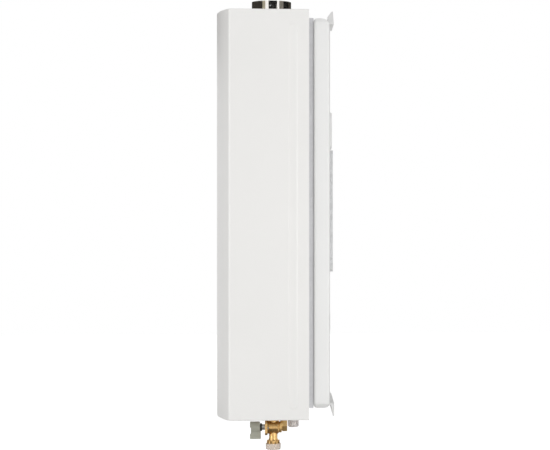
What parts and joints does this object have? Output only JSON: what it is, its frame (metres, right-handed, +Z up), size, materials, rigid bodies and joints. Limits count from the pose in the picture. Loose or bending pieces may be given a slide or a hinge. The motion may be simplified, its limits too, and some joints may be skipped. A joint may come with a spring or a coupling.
{
  "type": "tankless water heater",
  "caption": "Wall-hung tankless gas water heater with a bowed white cover, round flue collar on top and a lever valve on its water inlet.",
  "frame": {"origin": "on the wall side of the top bracket, in the middle of the width, 8 mm below the top of the cover", "axes": "+Z up, +Y towards the wall, +X to the right seen from the front"},
  "size_m": [0.3512, 0.1747, 0.672],
  "materials": {
    "cover_paint": "white powder coat, satin",
    "pan_paint": "white powder coat, satin",
    "bracket_paint": "white coated steel",
    "chassis_galvanised": "bare galvanised sheet",
    "strip_galvanised": "bare galvanised sheet",
    "inner_galvanised": "bare galvanised sheet",
    "flue_stainless": "mirror stainless",
    "screw_steel": "zinc plated steel",
    "stem_steel": "polished stainless",
    "valve_brass": "cast and turned brass",
    "fitting_brass": "turned brass",
    "copper": "drawn copper",
    "tinned_copper": "tinned copper sheet",
    "cast_aluminium": "die cast",
    "knob_plastic": "moulded grey-green plastic",
    "ring_plastic": "moulded dark plastic",
    "button_plastic": "moulded light grey plastic",
    "display_gloss": "glossy black window",
    "black_plastic": "moulded black plastic",
    "clear_cap": "translucent soft plastic",
    "clear_plug": "clear plastic",
    "seal_rubber": "black rubber",
    "ceramic": "glazed ceramic",
    "circuit_board": "green circuit board"
  },
  "bodies": {
    "heater": {"front_cover": "cover_paint", "rear_pan": "pan_paint", "top_bracket": "bracket_paint", "bottom_bracket": "bracket_paint", "chassis_box": "chassis_galvanised", "spacer_strip_left": "strip_galvanised", "spacer_strip_right": "strip_galvanised", "blower_housing": "inner_galvanised", "flue_hood": "inner_galvanised", "burner_rack": "inner_galvanised", "flue_collar": "flue_stainless", "cover_screw_bottom_left": "screw_steel", "cover_screw_top_left": "screw_steel", "cover_screw_bottom_right": "screw_steel", "cover_screw_top_right": "screw_steel", "bracket_rivet_top_left": "screw_steel", "bracket_rivet_top_right": "screw_steel", "bracket_rivet_bottom_left": "screw_steel", "bracket_rivet_bottom_right": "screw_steel", "valve_flange_screw_left": "screw_steel", "valve_flange_screw_right": "screw_steel", "valve_body": "valve_brass", "valve_rear_plug": "valve_brass", "valve_union_nut": "valve_brass", "cold_inlet_nipple": "fitting_brass", "hot_outlet_nipple": "fitting_brass", "gas_inlet_nipple": "fitting_brass", "gas_manifold": "fitting_brass", "exchanger_fins": "copper", "exchanger_coil": "copper", "cold_water_pipe": "copper", "hot_water_pipe": "copper", "gas_feed_pipe": "copper", "gas_inlet_pipe": "copper", "combustion_chamber": "tinned_copper", "gas_valve_body": "cast_aluminium", "blower_motor": "cast_aluminium", "control_box": "ring_plastic", "display_panel": "display_gloss", "cable_gland": "black_plastic", "flow_sensor_body": "black_plastic", "gas_solenoid": "black_plastic", "overheat_thermostat": "black_plastic", "drain_plug": "clear_plug", "flue_seal": "seal_rubber", "spark_electrode": "ceramic", "flame_sensor": "ceramic", "control_board": "circuit_board", "display_board": "circuit_board"},
    "valve_lever": {"valve_lever_knob": "knob_plastic", "valve_stem": "stem_steel", "valve_ball": "stem_steel", "valve_packing_ring": "ring_plastic"},
    "end_cap": {"valve_end_cap": "clear_cap"},
    "blower_rotor": {"blower_wheel": "inner_galvanised", "blower_shaft": "stem_steel"},
    "flow_rotor": {"flow_turbine": "button_plastic"},
    "power_button": {"button_power": "button_plastic"},
    "up_button": {"button_up": "button_plastic"},
    "down_button": {"button_down": "button_plastic"}
  },
  "joints": [
    {"name": "valve_lever_turn", "type": "hinge", "parent": "heater", "child": "valve_lever", "pos_m": [0.095, -0.091, -0.6013], "axis": [0, 1, 0], "range_deg": [0, 90]},
    {"name": "end_cap_pull", "type": "slide", "parent": "heater", "child": "end_cap", "axis": [0, 0, -1], "range_m": [0, 0.01]},
    {"name": "blower_spin", "type": "hinge", "parent": "heater", "child": "blower_rotor", "pos_m": [-0.016, -0.0938, -0.078], "axis": [0, 1, 0], "continuous": true},
    {"name": "flow_turbine_spin", "type": "hinge", "parent": "heater", "child": "flow_rotor", "pos_m": [0.095, -0.091, -0.53], "axis": [0, 0, 1], "continuous": true},
    {"name": "power_press", "type": "slide", "parent": "heater", "child": "power_button", "axis": [0, 1, 0], "range_m": [0, 0.0008], "stiffness_N_per_m": 400, "springref_m": -0.0004},
    {"name": "up_press", "type": "slide", "parent": "heater", "child": "up_button", "axis": [0, 1, 0], "range_m": [0, 0.0008], "stiffness_N_per_m": 400, "springref_m": -0.0004},
    {"name": "down_press", "type": "slide", "parent": "heater", "child": "down_button", "axis": [0, 1, 0], "range_m": [0, 0.0008], "stiffness_N_per_m": 400, "springref_m": -0.0004}
  ]
}
